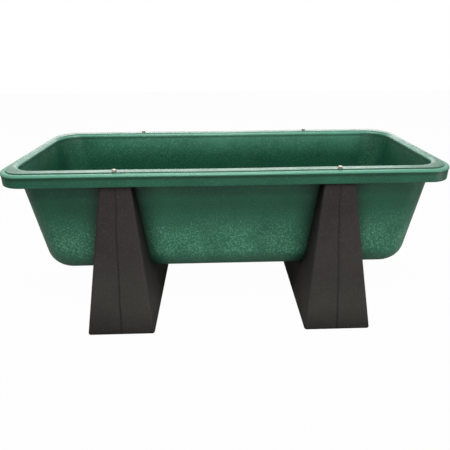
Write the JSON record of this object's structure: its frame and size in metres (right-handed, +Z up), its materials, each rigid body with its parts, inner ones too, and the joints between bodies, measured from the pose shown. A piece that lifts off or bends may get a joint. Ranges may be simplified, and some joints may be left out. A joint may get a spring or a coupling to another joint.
{
  "type": "bunk feeder",
  "caption": "Long feed trough: a deep round-cornered tub with a stepped, turned-down rim, bolted onto two hollow tapered stands that cradle it off the ground.",
  "frame": {"origin": "centre of the bounding box, on the floor the stands rest on", "axes": "+X along the feeder to the right stand, +Y to the rear, +Z up"},
  "size_m": [1.524, 0.81, 0.5549],
  "materials": {
    "green_plastic": "satin, fine orange peel",
    "black_plastic": "matt, fine grained",
    "bolt_steel": "zinc plated",
    "washer_steel": "zinc plated",
    "insert_brass": "turned"
  },
  "bodies": {
    "root": {"trough": "green_plastic", "left_stand": "black_plastic", "right_stand": "black_plastic", "front_left_bolt": "bolt_steel", "front_left_washer": "washer_steel", "front_left_insert": "insert_brass", "front_right_bolt": "bolt_steel", "front_right_washer": "washer_steel", "front_right_insert": "insert_brass", "rear_left_bolt": "bolt_steel", "rear_left_washer": "washer_steel", "rear_left_insert": "insert_brass", "rear_right_bolt": "bolt_steel", "rear_right_washer": "washer_steel", "rear_right_insert": "insert_brass"}
  },
  "joints": []
}
